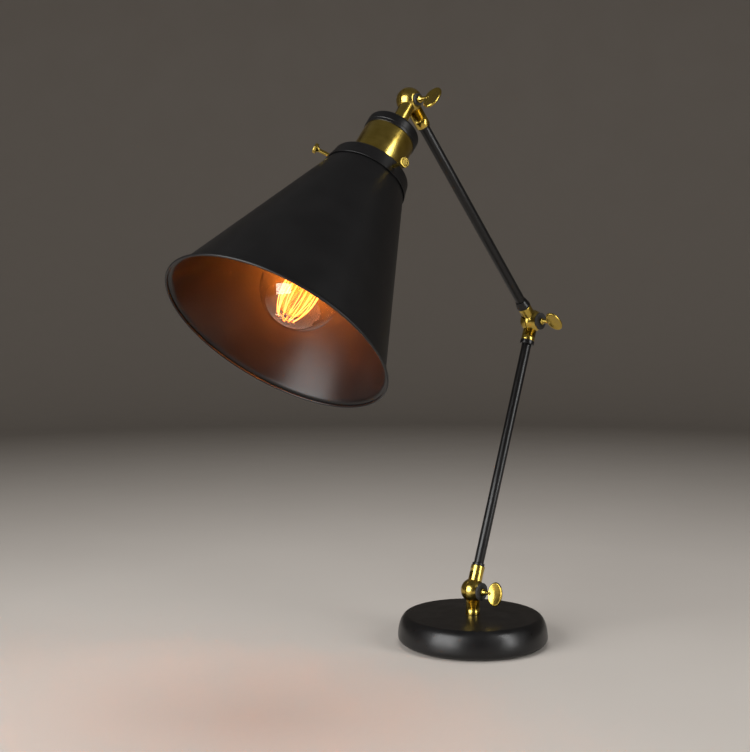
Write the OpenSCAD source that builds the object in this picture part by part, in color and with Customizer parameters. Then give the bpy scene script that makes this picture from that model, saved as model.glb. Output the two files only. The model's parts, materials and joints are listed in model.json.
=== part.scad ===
// Swing arm desk lamp: round base, two tube arms, three brass swivel joints, cone shade.
// The arms move in the XZ plane. The origin is the centre of the base's underside.

/* [Base] */
// Diameter of the base
base_d = 150; // [140:1:180]
// Height of the base above the table
base_h = 28.8; // [28:0.2:36]
// Wall of the pressed base cover
base_wall = 1.2; // [0.8:0.1:1.4]
// How far the side curves in towards the top
base_shoulder = 9.5; // [5:0.5:14]
// How far the side curves in towards the bottom
base_heel = 8; // [5:0.5:10]
// Height of the widest part of the base
base_widest_z = 7.3; // [6:0.1:9]
// Gap under the rim of the cover
base_lift = 1; // [0.5:0.1:1.5]
// Thickness of the anti-slip pad
pad_t = 2; // [1.5:0.1:3]
// Thickness of the bottom plate
plate_t = 1; // [0.8:0.1:1.5]
// Width of the cover's inward lip
lip_w = 5; // [3:0.5:8]
// Height of the cord grommet's axis
grommet_z = 11.5; // [10:0.5:13]
// Radius of the hole that the cord passes through
cord_hole_r = 3.25; // [2.5:0.05:3.75]

/* [Arms] */
// Length of the stem between the base and the bottom ball
stem_len = 24.2; // [20:0.2:40]
// Distance between ball centres on the lower arm
lower_arm_l = 285.5; // [160:0.5:400]
// Distance between ball centres on the upper arm
upper_arm_l = 285.5; // [160:0.5:400]
// Tilt of the lower arm from upright, towards +X
lower_tilt = 20.1; // [-20:0.1:60]
// Tilt of the upper arm from upright, towards +X
upper_tilt = -43.7; // [-70:0.1:-20]
// Tilt of the shade's axis from upright, towards +X
head_tilt = 39.2; // [10:0.1:60]
// Outer diameter of the arm tubes
tube_d = 10; // [8:0.5:11]
// Wall of the arm tubes
tube_wall = 1; // [0.8:0.1:1.2]
// Depth that a tube or nipple sits inside a neck
socket_depth = 7; // [5:0.5:8]

/* [Joints] */
// Diameter of the joint balls
ball_d = 24; // [22:0.5:30]
// Diameter of the necks beside the balls
neck_d = 13.8; // [13:0.1:16]
// Space between the two half balls
joint_gap = 0.8; // [0.6:0.1:1.2]
// Room between a half ball and the other half's neck
swing_gap = 0.3; // [0.2:0.05:0.5]
// Distance from the ball's centre to the flat under the clamp washer
ball_flat = 9.8; // [9.4:0.1:10.2]
// Radius of the wiring chamber in each half ball
chamber_r = 7.2; // [6.6:0.1:7.6]
// Depth of the wiring chamber in each half ball
chamber_depth = 6.5; // [6:0.1:7]
// Radius of the wiring bore in the necks
bore_r = 3.3; // [3.25:0.05:3.6]
// Length of the neck at the foot of the lower arm
foot_neck = 25; // [22:0.5:30]
// Length of the neck at the top of the lower arm
elbow_low_neck = 21.5; // [21:0.5:30]
// Length of the neck at the foot of the upper arm
elbow_high_neck = 21; // [21:0.5:30]
// Length of the neck at the top of the upper arm
tip_neck = 29; // [22:0.5:34]
// Radius of the clamp washers at the two lower joints
washer_r = 8.8; // [7:0.1:10]
// Radius of the clamp washer at the head joint
head_washer_r = 5.6; // [5:0.1:10]
// Thickness of the clamp washers
washer_t = 2.2; // [1.5:0.1:3]

/* [Thumb screws] */
// Diameter of the clamp screws
screw_d = 4; // [3:0.5:4]
// Length of the wing along the screw
wing_l = 16.6; // [14:0.1:20]
// Width of the wing across the screw
wing_w = 24; // [18:0.5:28]
// Thickness of the wing
wing_t = 2.6; // [2:0.1:3.5]
// Distance from the ball's centre to the wing's centre
wing_reach = 28; // [26:0.5:34]
// Turn of the lower joint's wing from upright
lower_wing_turn = 8; // [-90:1:90]
// Turn of the elbow's wing from upright
elbow_wing_turn = -45; // [-90:1:90]
// Turn of the head joint's wing from upright
head_wing_turn = 38; // [-90:1:90]

/* [Lampholder] */
// Length of the neck between the head joint and the cap
head_neck = 36.5; // [30:0.5:44]
// How far the neck and all below it sit off the head joint's centre, towards -Y
head_shift = 2.2; // [0:0.1:2.4]
// Diameter of the cap
cap_d = 50; // [44:0.5:56]
// Height of the cap
cap_h = 12.5; // [10:0.5:16]
// Wall of the cap
cap_wall = 2; // [1.5:0.1:2.5]
// Diameter of the brass shell
shell_d = 48.6; // [44:0.2:52]
// Visible length of the brass shell
shell_l = 37.3; // [30:0.1:44]
// Wall of the brass shell
shell_wall = 0.8; // [0.6:0.1:1]
// Diameter of the porcelain socket body
socket_d = 40.4; // [38:0.2:41]
// How far the socket body reaches below the shell
socket_drop = 30; // [20:0.5:36]

/* [Shade] */
// Diameter of the shade over its rolled rim
shade_d = 207.8; // [160:0.2:260]
// Distance from the shade holder's top to the rim
shade_l = 188.4; // [150:0.2:220]
// Wall of the shade
shade_wall = 0.8; // [0.6:0.1:1.2]
// Radius of the rolled rim's wire
rim_wire_r = 1.1; // [1:0.1:1.4]
// How far the rim flares out past the cone
rim_flare = 3; // [2.4:0.1:4]
// Height of the flared rim
rim_h = 6; // [5:0.5:10]
// Diameter of the shade holder cup at its foot
cup_d = 79.2; // [76:0.2:84]
// Height of the shade holder cup
cup_h = 14.9; // [13:0.1:18]
// Wall of the shade holder cup
cup_wall = 1.2; // [1:0.1:1.6]
// Distance of the cup's screws below its top
cup_screw_drop = 7.4; // [6.5:0.1:8]
// Radius of the knurled screw heads
knob_r = 4.7; // [4:0.1:7]
// Thickness of the knurled screw heads
knob_t = 3; // [2.5:0.1:5]
// Distance from the cup's side to the screw heads
knob_reach = 12.6; // [8:0.1:16]

/* [Bulb] */
// Radius of the glass globe
globe_r = 36; // [28:0.5:40]
// Overall length of the bulb
bulb_l = 172; // [140:1:178]
// Wall of the glass
glass_t = 0.8; // [0.6:0.1:1.2]
// Pitch of the screw cap's thread
thread_pitch = 3.63;

/* [Hidden] */

$fn = 96;
BRASS = [0.78, 0.60, 0.25];
BLACK = [0.06, 0.06, 0.065];
STEEL = [0.62, 0.63, 0.65];
RUBBER = [0.10, 0.10, 0.10];

fit = 0.03;              // play between pieces that are fixed together
run = 0.05;              // play of a screw that turns in its hole
eps = 0.01;              // overshoot of a cut past the face that it opens
far = 200;               // size of a block that stands for half of space

ball_r = ball_d / 2;
neck_r = neck_d / 2;
tube_r = tube_d / 2;
nipple_r = 5;
screw_r = screw_d / 2;
face = joint_gap / 2;

shoulder_h = base_h - base_widest_z;
heel_h = base_widest_z - base_lift;
base_r = base_d / 2;
plate_z = pad_t;
weight_z = plate_z + plate_t;
lip_r = base_r - base_heel - lip_w;
weight_r = lip_r - 0.5;
weight_top = base_h - 6;
boss_r = 22;
recess_r = 13;
nut_h = 3.2;
nut_r = 8.1;
nut_washer_r = 9;
nut_washer_t = 0.8;
recess_h = 9;
nipple_foot = weight_z + 5;
plate_screw_ring = 0.76 * weight_r;
plate_screw_r = 1.5;
plate_screw_head = 2.8;
block_x = 36;
block_l = 16;
block_w = 10;
block_h = 8;
block_z = weight_z + 0.8;
wire_r = 1.0;
wire_x = 1.15;
wire_y = 1.9;
wire_end = 4.8;          // distance from a ball's centre at which the leads end

p1 = [0, 0, base_h + stem_len];
p2 = p1 + lower_arm_l * [sin(lower_tilt), 0, cos(lower_tilt)];
p3 = p2 + upper_arm_l * [sin(upper_tilt), 0, cos(upper_tilt)];

washer_y = ball_flat + washer_t;
collar_r = 3.6;
collar_t = 1.8;
stalk_end = wing_reach - wing_l / 2 + 1.5;

cap_r = cap_d / 2;
shell_r = shell_d / 2;
cap_end = head_neck + cap_h;
shell_end = cap_end + shell_l;
spigot_r = cap_r - cap_wall - fit;
spigot_h = 5;
socket_r = socket_d / 2;
socket_start = cap_end + 5;
socket_end = shell_end + socket_drop;
cup_top = shell_end + fit;
rim_s = cup_top + shade_l;
cone_rim_r = shade_d / 2 - rim_flare;
bead_r = shade_d / 2 - rim_wire_r;
bead_s = rim_s - rim_wire_r;
cup_foot_r = cup_d / 2;
shade_slope = (cone_rim_r - (cup_foot_r - cup_wall - 0.3)) / (shade_l - cup_h);
cup_top_r = cup_foot_r - 2.7;
cup_round = 3;
screw_s = cup_top + cup_screw_drop;
lip_s = cup_top + 3.4;
neck_end_s = cup_top + cup_h - 5.5;
shade_neck_r = cone_r(neck_end_s) - 1.9;
shade_screw_r = 1.75;
ring_nut_r = 27;
ring_nut_h = 3.6;
shade_screw_turns = [283, 43, 163];

thread_r = 12.65;        // mean radius of the bulb cap's thread
thread_depth = 0.55;
thread_play = 0.15;
thread_turns = 6;
sleeve_t = 0.35;
bulb_tip_s = socket_end - 28;
cap_s = bulb_tip_s + 3.6;
thread_end_s = cap_s + thread_turns * thread_pitch;
neck_s = thread_end_s + 3;
glass_neck_r = 13.4;
globe_s = bulb_tip_s + bulb_l - globe_r;
filament_strands = 20;
filament_r = 0.35;
filament_top = globe_s - 66;
filament_foot = globe_s + globe_r - 6;
filament_top_r = 6.5;
filament_foot_r = 10;
stalk_r = 1.8;           // radius of the glass stalk inside the bulb
button_r = 3;
support_r = 0.25;
support_gap = 0.7;

// Radius of the outside of the shade's cone at a distance s from the head joint
function cone_r(s) = cone_rim_r - shade_slope * (rim_s - s);

// Points on an arc or on a quarter of an ellipse
function arc(x, y, rx, ry, from, to, n) =
    [for (i = [0:n]) let (a = from + (to - from) * i / n) [x + rx * cos(a), y + ry * sin(a)]];

// Points on a cubic Bezier curve
function bezier(a, b, c, d, n) =
    [for (i = [0:n]) let (t = i / n, u = 1 - t)
        u * u * u * a + 3 * u * u * t * b + 3 * u * t * t * c + t * t * t * d];

// Outline of a rolled thread: a wave along the axis
function wave(mean, from, turns, n) =
    [for (i = [0:turns * n])
        [mean - thread_depth * cos(360 * i / n), from + thread_pitch * i / n]];

function reversed(points) = [for (i = [len(points) - 1:-1:0]) points[i]];

// Half of space on one side of the joint's split plane, starting at y = from
module half_space(side, from) {
    translate([-far / 2, side > 0 ? from : from - far, -far / 2])
        cube(far);
}

// Cylinder along Y between two values of y
module y_cylinder(r, y0, y1) {
    translate([0, y0, 0])
        rotate([-90, 0, 0])
            cylinder(r = r, h = y1 - y0);
}

// Round rod between two points
module rod(a, b, r, sides = 24) {
    d = b - a;
    length = norm(d);
    translate(a)
        rotate([0, acos(d[2] / length), atan2(d[1], d[0])])
            cylinder(r = r, h = length, $fn = sides);
}

// Round rod along a list of points, with round elbows a little thicker than the rod
module bent_rod(points, r) {
    for (i = [0:len(points) - 2])
        rod(points[i], points[i + 1], r);
    for (i = [1:len(points) - 2])
        translate(points[i])
            sphere(r = 1.08 * r, $fn = 24);
}

// Frame of an arm: +Z runs up along it from the ball centre p
module up_arm(p, tilt) {
    translate(p)
        rotate([0, tilt, 0])
            children();
}

// Frame at the other end of an arm: +Z runs back down along it from the ball centre p
module down_arm(p, tilt) {
    up_arm(p, tilt + 180)
        children();
}

// Frame of the head: +Z runs from the head joint to the rim of the shade
module head_frame() {
    down_arm(p3, head_tilt)
        translate([0, -head_shift, 0])
            children();
}

// One half of a swivel joint, with its neck along +Z.
// side is 1 for the threaded half and -1 for the clamped half.
// shift is the distance from the ball's centre to the neck's axis.
module joint_half(side, r, neck_len, socket_r, shift = 0) {
    color(BRASS)
        difference() {
            union() {
                intersection() {
                    sphere(r = ball_r);
                    half_space(side, side * face);
                }
                difference() {
                    translate([0, side * shift, chamber_r])
                        cylinder(r = r, h = neck_len - chamber_r);
                    intersection() {
                        sphere(r = ball_r + swing_gap);
                        half_space(-side, side * face);
                    }
                }
            }
            if (side < 0)
                half_space(-1, -ball_flat);
            y_cylinder(chamber_r, side > 0 ? face - 1 : -chamber_depth, side > 0 ? chamber_depth : 1 - face);
            translate([0, side * shift, 0]) {
                cylinder(r = bore_r, h = neck_len + eps);
                translate([0, 0, neck_len - socket_depth])
                    cylinder(r = socket_r + fit, h = socket_depth + eps);
            }
            y_cylinder(screw_r + run, side > 0 ? 0 : -ball_r, side > 0 ? ball_r - 1.4 : 0);
        }
}

// Ring between the two half balls, fixed to the threaded half
module friction_washer() {
    color(RUBBER)
        difference() {
            y_cylinder(ball_r - 1.4, 0.1 - face, face);
            y_cylinder(chamber_r + 0.3, -1, 1);
        }
}

// Dark washer on the flat of the clamped half
module clamp_washer(r) {
    color(RUBBER)
        difference() {
            y_cylinder(r, -washer_y, -ball_flat);
            y_cylinder(screw_r + run, -washer_y - eps, -ball_flat + eps);
        }
}

// Clamp screw with an oval, dished wing
module thumb_screw(turn) {
    dish_r = 40;
    dish = 0.5;
    color(BRASS) {
        y_cylinder(screw_r, -stalk_end, ball_r - 1.8);
        y_cylinder(collar_r, -washer_y - run - collar_t, -washer_y - run);
        translate([0, -washer_y - run - collar_t, 0])
            rotate([90, 0, 0])
                cylinder(r1 = 3, r2 = screw_r, h = stalk_end - washer_y - collar_t - run);
        rotate([0, turn, 0])
            translate([0, -wing_reach, 0])
                rotate([90, 0, 90])
                    difference() {
                        linear_extrude(height = wing_t, center = true)
                            polygon(arc(0, 0, wing_l / 2, wing_w / 2, 0, 350, 35));
                        for (z = [-1, 1])
                            translate([0, 0, z * (wing_t / 2 - dish + dish_r)])
                                sphere(r = dish_r);
                    }
    }
}

// Tube of an arm between its two necks
module arm_tube(length, low_neck, high_neck) {
    color(BLACK)
        translate([0, 0, low_neck - socket_depth])
            difference() {
                cylinder(r = tube_r, h = length - low_neck - high_neck + 2 * socket_depth);
                translate([0, 0, -eps])
                    cylinder(r = tube_r - tube_wall, h = length);
            }
}

// Lock ring around a tube where it enters a neck, r1 in radius at the neck and r2 at its other end
module lock_ring(r1, r2, from, length) {
    color(BLACK)
        translate([0, 0, from])
            difference() {
                cylinder(r1 = r1, r2 = r2, h = length);
                translate([0, 0, -eps])
                    cylinder(r = tube_r + fit, h = length + 2 * eps);
            }
}

// Pair of insulated wires along an arm
module arm_leads(length) {
    color("saddlebrown")
        for (x = [-wire_x, wire_x])
            rod([x, -wire_y, wire_end], [x, wire_y, length - wire_end], wire_r);
}

// Outline of the base, inset by t
function base_outline(t) = concat(
    arc(base_r - base_shoulder, base_widest_z, base_shoulder - t, shoulder_h - t, 90, 0, 12),
    arc(base_r - base_heel, base_widest_z, base_heel - t, heel_h - t, 0, -90, 8)
);

module base_solid(t) {
    rotate_extrude()
        polygon(concat([[0, base_h - t]], base_outline(t), [[0, base_lift + t]]));
}

module base_cover() {
    color(BLACK)
        difference() {
            rotate_extrude()
                polygon(concat(
                    [[nipple_r + 0.1, base_h]], base_outline(0), [[lip_r, base_lift], [lip_r, base_lift + base_wall]],
                    reversed(base_outline(base_wall)), [[nipple_r + 0.1, base_h - base_wall]]));
            translate([base_r / 2, 0, grommet_z])
                rotate([0, 90, 0])
                    cylinder(r = cord_hole_r + 2.3, h = base_r);
        }
}

module base_weight() {
    color([0.25, 0.25, 0.26])
        difference() {
            union() {
                translate([0, 0, weight_z])
                    cylinder(r = weight_r, h = weight_top - weight_z);
                cylinder(r = boss_r, h = base_h - base_wall);
            }
            translate([0, 0, -eps])
                cylinder(r = boss_r + 1, h = weight_z + eps);
            cylinder(r = nipple_r + 0.1, h = base_h);
            cylinder(r = recess_r, h = weight_z + recess_h);
            translate([0, -block_w / 2 - 1, 0])
                cube([base_r, block_w + 2, weight_z + 13]);
            for (a = [60, 180, 300])
                rotate(a)
                    translate([plate_screw_ring, 0, 0])
                        cylinder(r = plate_screw_r + fit, h = weight_z + 9);
        }
}

module base_plate() {
    color(STEEL)
        translate([0, 0, plate_z])
            difference() {
                cylinder(r = weight_r, h = plate_t);
                for (a = [60, 180, 300])
                    rotate(a)
                        translate([plate_screw_ring, 0, -eps])
                            cylinder(r = plate_screw_r + fit, h = plate_t + 2 * eps);
            }
}

module plate_screws() {
    color(STEEL)
        for (a = [60, 180, 300])
            rotate(a)
                translate([plate_screw_ring, 0, 0]) {
                    translate([0, 0, 0.4])
                        cylinder(r = plate_screw_head, h = plate_z - 0.4);
                    translate([0, 0, plate_z - 0.2])
                        cylinder(r = plate_screw_r, h = 8);
                }
}

module base_pad() {
    color(RUBBER)
        difference() {
            cylinder(r = weight_r, h = pad_t);
            for (a = [60, 180, 300])
                rotate(a)
                    translate([plate_screw_ring, 0, -eps])
                        cylinder(r = plate_screw_head + 0.4, h = pad_t + 2 * eps);
        }
}

module cord_grommet() {
    flange_r = cord_hole_r + 3.8;
    color(RUBBER)
        difference() {
            union() {
                translate([base_r - 9, 0, grommet_z])
                    rotate([0, 90, 0])
                        cylinder(r = cord_hole_r + 2.3 - fit, h = 9);
                difference() {
                    translate([base_r - 9, 0, grommet_z])
                        rotate([0, 90, 0])
                            cylinder(r = flange_r, h = 11);
                    base_solid(-fit);
                }
                intersection() {
                    translate([base_r - 9, 0, grommet_z])
                        rotate([0, 90, 0])
                            cylinder(r = flange_r, h = 11);
                    base_solid(base_wall + fit);
                }
            }
            translate([base_r / 2, 0, grommet_z])
                rotate([0, 90, 0])
                    cylinder(r = cord_hole_r, h = base_r);
        }
}

module connector_block() {
    color("ivory")
        translate([block_x, 0, block_z])
            difference() {
                translate([0, -block_w / 2, 0])
                    cube([block_l, block_w, block_h]);
                for (y = [-2.4, 2.4]) {
                    translate([-eps, y, 3])
                        rotate([0, 90, 0])
                            cylinder(r = wire_r + 0.2, h = block_l + 2 * eps);
                    for (x = [4, block_l - 4])
                        translate([x, y, 3])
                            cylinder(r = 1.3, h = block_h);
                }
            }
}

module connector_screws() {
    color(STEEL)
        for (x = [4, block_l - 4], y = [-2.4, 2.4])
            translate([block_x + x, y, block_z + 4.3])
                difference() {
                    cylinder(r = 1.25, h = 3.4);
                    translate([-2, -0.2, 3])
                        cube([4, 0.4, 1]);
                }
}

module base_leads() {
    color("saddlebrown") {
        bent_rod([
            [wire_x, wire_y, p1[2] - wire_end],
            [wire_x, wire_y, weight_z + 3.8],
            [14, 2.4, weight_z + 3.8],
            [block_x + 7, 2.4, block_z + 3]
        ], wire_r);
        bent_rod([
            [-wire_x, wire_y, p1[2] - wire_end],
            [-wire_x, wire_y, weight_z + 1.3],
            [14, -2.4, weight_z + 1.3],
            [block_x - 6, -2.4, block_z + 3],
            [block_x + 7, -2.4, block_z + 3]
        ], wire_r);
    }
}

module base_nipple() {
    color(STEEL)
        translate([0, 0, nipple_foot])
            difference() {
                cylinder(r = nipple_r, h = base_h + socket_depth - nipple_foot);
                translate([0, 0, -eps])
                    cylinder(r = bore_r, h = base_h + socket_depth);
            }
}

module base_washer() {
    color(STEEL)
        translate([0, 0, weight_z + recess_h - nut_washer_t])
            difference() {
                cylinder(r = nut_washer_r, h = nut_washer_t);
                translate([0, 0, -eps])
                    cylinder(r = nipple_r + fit, h = 1);
            }
}

module hex_nut() {
    difference() {
        cylinder(r = nut_r, h = nut_h, $fn = 6);
        translate([0, 0, -eps])
            cylinder(r = nipple_r + fit, h = nut_h + 2 * eps);
    }
}

module base_nut() {
    color(STEEL)
        translate([0, 0, weight_z + recess_h - nut_washer_t - nut_h])
            hex_nut();
}

module stem_half() {
    down_arm(p1, 0)
        joint_half(1, neck_r, stem_len, nipple_r);
}

module lower_friction_washer() {
    up_arm(p1, lower_tilt)
        friction_washer();
}

module lower_thumb_screw() {
    translate(p1)
        thumb_screw(lower_wing_turn);
}

module lower_arm_foot_half() {
    up_arm(p1, lower_tilt)
        joint_half(-1, neck_r, foot_neck, tube_r);
}

module lower_clamp_washer() {
    up_arm(p1, lower_tilt)
        clamp_washer(washer_r);
}

module lower_arm_foot_ring() {
    up_arm(p1, lower_tilt)
        lock_ring(tube_r + 1.2, tube_r + 1.2, foot_neck, 2.6);
}

module lower_arm_tube() {
    up_arm(p1, lower_tilt)
        arm_tube(lower_arm_l, foot_neck, elbow_low_neck);
}

module lower_arm_top_ring() {
    down_arm(p2, lower_tilt)
        lock_ring(tube_r + 2.3, tube_r + 2.3, elbow_low_neck, 4.5);
}

module lower_arm_top_half() {
    down_arm(p2, lower_tilt)
        joint_half(1, neck_r, elbow_low_neck, tube_r);
}

module elbow_friction_washer() {
    up_arm(p2, upper_tilt)
        friction_washer();
}

module lower_arm_leads() {
    up_arm(p1, lower_tilt)
        arm_leads(lower_arm_l);
}

module elbow_thumb_screw() {
    translate(p2)
        thumb_screw(elbow_wing_turn);
}

module upper_arm_foot_half() {
    up_arm(p2, upper_tilt)
        joint_half(-1, neck_r, elbow_high_neck, tube_r);
}

module elbow_clamp_washer() {
    up_arm(p2, upper_tilt)
        clamp_washer(washer_r);
}

module upper_arm_foot_ring() {
    up_arm(p2, upper_tilt)
        lock_ring(tube_r + 2.2, tube_r + 0.6, elbow_high_neck, 8.5);
}

module upper_arm_tube() {
    up_arm(p2, upper_tilt)
        arm_tube(upper_arm_l, elbow_high_neck, tip_neck);
}

module upper_arm_top_ring() {
    down_arm(p3, upper_tilt)
        lock_ring(tube_r + 1, tube_r + 1, tip_neck, 2);
}

module upper_arm_top_half() {
    down_arm(p3, upper_tilt)
        joint_half(1, neck_r, tip_neck, tube_r);
}

module head_friction_washer() {
    down_arm(p3, upper_tilt)
        friction_washer();
}

module upper_arm_leads() {
    up_arm(p2, upper_tilt)
        arm_leads(upper_arm_l);
}

module head_thumb_screw() {
    translate(p3)
        thumb_screw(head_wing_turn);
}

module head_half() {
    down_arm(p3, head_tilt)
        joint_half(-1, neck_r, head_neck, nipple_r, head_shift);
}

module head_clamp_washer() {
    down_arm(p3, head_tilt)
        clamp_washer(head_washer_r);
}

module holder_nipple() {
    color(STEEL)
        head_frame()
            translate([0, 0, head_neck - socket_depth])
                difference() {
                    cylinder(r = nipple_r, h = socket_depth + 8);
                    translate([0, 0, -eps])
                        cylinder(r = bore_r, h = socket_depth + 9);
                }
}

module holder_nut() {
    color(STEEL)
        head_frame()
            translate([0, 0, head_neck + cap_wall])
                hex_nut();
}

module holder_cap() {
    round_r = 3.5;
    inner_r = cap_r - cap_wall;
    color(BLACK)
        head_frame()
            rotate_extrude()
                polygon(concat(
                    [[nipple_r + fit, head_neck + cap_wall], [nipple_r + fit, head_neck]],
                    arc(cap_r - round_r, head_neck + round_r, round_r, round_r, -90, 0, 8),
                    [[cap_r, cap_end], [inner_r, cap_end], [inner_r, head_neck + cap_wall]]));
}

module holder_shell() {
    inner_r = shell_r - shell_wall;
    color(BRASS)
        head_frame()
            rotate_extrude()
                polygon([
                    [spigot_r - shell_wall, cap_end - spigot_h], [spigot_r, cap_end - spigot_h],
                    [spigot_r, cap_end + fit], [shell_r, cap_end + fit],
                    [shell_r, shell_end], [socket_r + fit, shell_end],
                    [socket_r + fit, shell_end - shell_wall], [inner_r, shell_end - shell_wall],
                    [inner_r, cap_end + fit + shell_wall], [spigot_r - shell_wall, cap_end + fit + shell_wall]]);
}

module socket_body() {
    shelf = 2;
    sleeve_r = thread_r + thread_play + sleeve_t + thread_depth + 0.1;
    color("white")
        head_frame()
            difference() {
                union() {
                    translate([0, 0, socket_start])
                        cylinder(r = socket_r, h = socket_end - socket_start);
                    translate([0, 0, shell_end - shell_wall - 3])
                        cylinder(r = socket_r + shelf, h = 3);
                }
                translate([0, 0, bulb_tip_s - 0.8])
                    cylinder(r = 7.6, h = far);
                translate([0, 0, cap_s - 1.6])
                    cylinder(r = sleeve_r, h = far);
                translate([0, 0, neck_s - 2.2])
                    cylinder(r = glass_neck_r + 1, h = far);
                for (x = [-10, 10])
                    translate([x, 0, socket_start - eps])
                        cylinder(r = 1.5, h = 12);
            }
}

module screw_shell() {
    inner = wave(thread_r + thread_play, cap_s - 0.5 * thread_pitch + 1, thread_turns, 8);
    outer = [for (p = inner) [p[0] + sleeve_t, p[1]]];
    color(BRASS)
        head_frame()
            rotate_extrude()
                polygon(concat(inner, reversed(outer)));
}

module centre_contact() {
    color(BRASS)
        head_frame()
            translate([0, 0, bulb_tip_s - 0.8])
                cylinder(r = 5, h = 0.6);
}

module terminal_screws() {
    color(BRASS)
        head_frame()
            for (x = [-10, 10])
                translate([x, 0, socket_start]) {
                    translate([0, 0, -2])
                        cylinder(r = 2.2, h = 2);
                    translate([0, 0, -0.1])
                        cylinder(r = 1.5 - fit, h = 9);
                }
}

module head_leads() {
    color("saddlebrown")
        head_frame()
            for (x = [-1, 1])
                bent_rod([
                    [x * wire_x, -wire_y, wire_end],
                    [x * wire_x, -wire_y, socket_start - 5],
                    [x * 6.6, 0, socket_start - 1.2]
                ], wire_r);
}

module shade_holder() {
    side = [[cup_foot_r, cup_top + cup_h], [cup_foot_r - cup_wall, cup_top + cup_h]];
    inner_r = cup_top_r - cup_wall;
    color(BLACK)
        head_frame()
            difference() {
                rotate_extrude()
                    polygon(concat(
                        [[socket_r + fit, cup_top + cup_wall], [socket_r + fit, cup_top]],
                        arc(cup_top_r - cup_round, cup_top + cup_round, cup_round, cup_round, -90, 0, 8), side,
                        arc(inner_r - 1.8, cup_top + cup_wall + 1.8, 1.8, 1.8, 0, -90, 6)));
                for (a = shade_screw_turns)
                    rotate(a)
                        translate([20, 0, screw_s])
                            rotate([0, 90, 0])
                                cylinder(r = shade_screw_r + run, h = 40);
            }
}

module shade_ring_nut() {
    color(BLACK)
        head_frame()
            translate([0, 0, cup_top + cup_wall])
                difference() {
                    cylinder(r = ring_nut_r, h = ring_nut_h);
                    translate([0, 0, -eps])
                        cylinder(r = socket_r + fit, h = ring_nut_h + 2 * eps);
                }
}

module shade() {
    color(BLACK)
        head_frame()
            rotate_extrude()
                union() {
                    polygon([
                        [shade_neck_r + 1.1, lip_s - shade_wall], [shade_neck_r + 1.1, lip_s],
                        [shade_neck_r, lip_s], [shade_neck_r, neck_end_s], [cone_r(neck_end_s + 1.5), neck_end_s + 1.5],
                        [cone_r(rim_s - rim_h), rim_s - rim_h], [bead_r + 0.3, bead_s],
                        [bead_r + 0.3 - shade_wall, bead_s], [cone_r(rim_s - rim_h) - shade_wall, rim_s - rim_h + 0.3],
                        [cone_r(neck_end_s + 1.5) - shade_wall, neck_end_s + 1.5],
                        [shade_neck_r - shade_wall, neck_end_s], [shade_neck_r - shade_wall, lip_s - shade_wall]]);
                    translate([bead_r, bead_s])
                        circle(r = rim_wire_r, $fn = 24);
                }
}

// One of the three screws that hold the shade in its cup
module shade_screw(turn) {
    tip = shade_neck_r + 0.2;
    head = cup_foot_r + knob_reach - knob_t / 2;
    color(BRASS)
        head_frame()
            rotate(turn)
                translate([0, 0, screw_s])
                    rotate([0, 90, 0]) {
                        translate([0, 0, tip])
                            cylinder(r = shade_screw_r, h = head - tip + 0.5);
                        translate([0, 0, head - 2])
                            cylinder(r1 = shade_screw_r, r2 = shade_screw_r + 1.2, h = 2);
                        translate([0, 0, head])
                            cylinder(r = knob_r, h = knob_t);
                    }
}

module shade_screw_front() {
    shade_screw(shade_screw_turns[0]);
}

module shade_screw_rear() {
    shade_screw(shade_screw_turns[1]);
}

module shade_screw_arm() {
    shade_screw(shade_screw_turns[2]);
}

module bulb_cap() {
    cap_start = cap_s - 0.5 * thread_pitch + 1;
    outer = wave(thread_r, cap_start, thread_turns, 8);
    color(STEEL)
        head_frame()
            rotate_extrude()
                polygon(concat(
                    [[7, cap_start - 0.4]], outer,
                    [[glass_neck_r + 0.5, neck_s - 1.6], [glass_neck_r + 0.5, neck_s + 1],
                     [glass_neck_r + fit, neck_s + 1], [glass_neck_r + fit, neck_s - 0.2],
                     [thread_r - thread_depth - 0.6, neck_s - 1.6],
                     [thread_r - thread_depth - 0.6, cap_start + 0.4], [7, cap_start + 0.3]]));
}

module bulb_insulator() {
    color([0.08, 0.08, 0.08])
        head_frame()
            translate([0, 0, bulb_tip_s + 0.9])
                difference() {
                    cylinder(r1 = 5.5, r2 = 7 - fit, h = cap_s - 0.5 * thread_pitch + 1.3 - bulb_tip_s - 0.9);
                    translate([0, 0, -eps])
                        cylinder(r = 1.6, h = 9);
                }
}

module bulb_contact() {
    color(STEEL)
        head_frame() {
            translate([0, 0, bulb_tip_s])
                cylinder(r1 = 3, r2 = 4, h = 0.9);
            translate([0, 0, bulb_tip_s + 0.8])
                cylinder(r = 1.5, h = 1.6);
        }
}

module bulb_glass() {
    function side(t) = concat(
        bezier([glass_neck_r - t, neck_s], [glass_neck_r - t, neck_s + 34],
               [globe_r - t, globe_s - 52], [globe_r - t, globe_s], 20),
        arc(0, globe_s, globe_r - t, globe_r - t, 6, 90, 14));
    color([0.95, 0.85, 0.65, 0.35])
        head_frame()
            rotate_extrude()
                polygon(concat(side(0), reversed(side(glass_t))));
}

module bulb_mount() {
    color([0.9, 0.9, 0.9, 0.5])
        head_frame() {
            translate([0, 0, neck_s - 1])
                cylinder(r1 = glass_neck_r - 3.2, r2 = 4, h = 22);
            translate([0, 0, neck_s + 20.9])
                cylinder(r = stalk_r, h = filament_foot + support_gap - neck_s - 20.9);
            translate([0, 0, filament_foot + support_gap])
                sphere(r = button_r);
        }
}

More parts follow.
